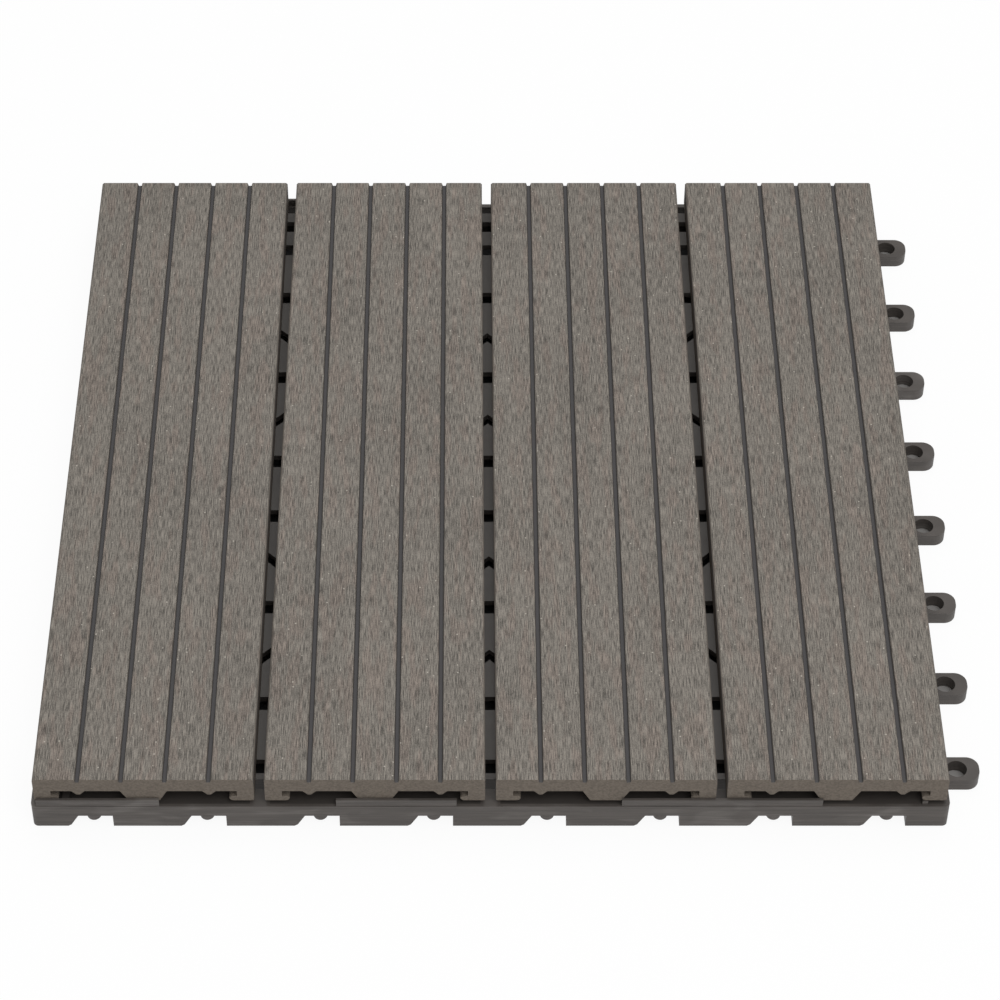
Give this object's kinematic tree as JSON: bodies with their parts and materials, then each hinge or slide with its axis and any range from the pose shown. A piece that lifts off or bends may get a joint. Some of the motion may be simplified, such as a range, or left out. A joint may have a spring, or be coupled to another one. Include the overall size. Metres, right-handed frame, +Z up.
{
  "type": "interlocking deck tile",
  "caption": "Square interlocking deck tile: grooved composite slats snapped onto a moulded lattice base with loops on two edges and pins on the other two.",
  "frame": {"origin": "on the floor under the middle of the base's square middle foot", "axes": "+Z up through the walking surface, +Y along the slats towards the back loop edge, +X towards the right loop edge; the pin edges face -Y and -X"},
  "size_m": [0.3122, 0.3122, 0.022],
  "materials": {
    "composite": "brushed wood-plastic composite",
    "base_plastic": "moulded"
  },
  "bodies": {
    "root": {"base_grid": "base_plastic", "slat_1": "composite", "slat_2": "composite", "slat_3": "composite", "slat_4": "composite"}
  },
  "joints": []
}
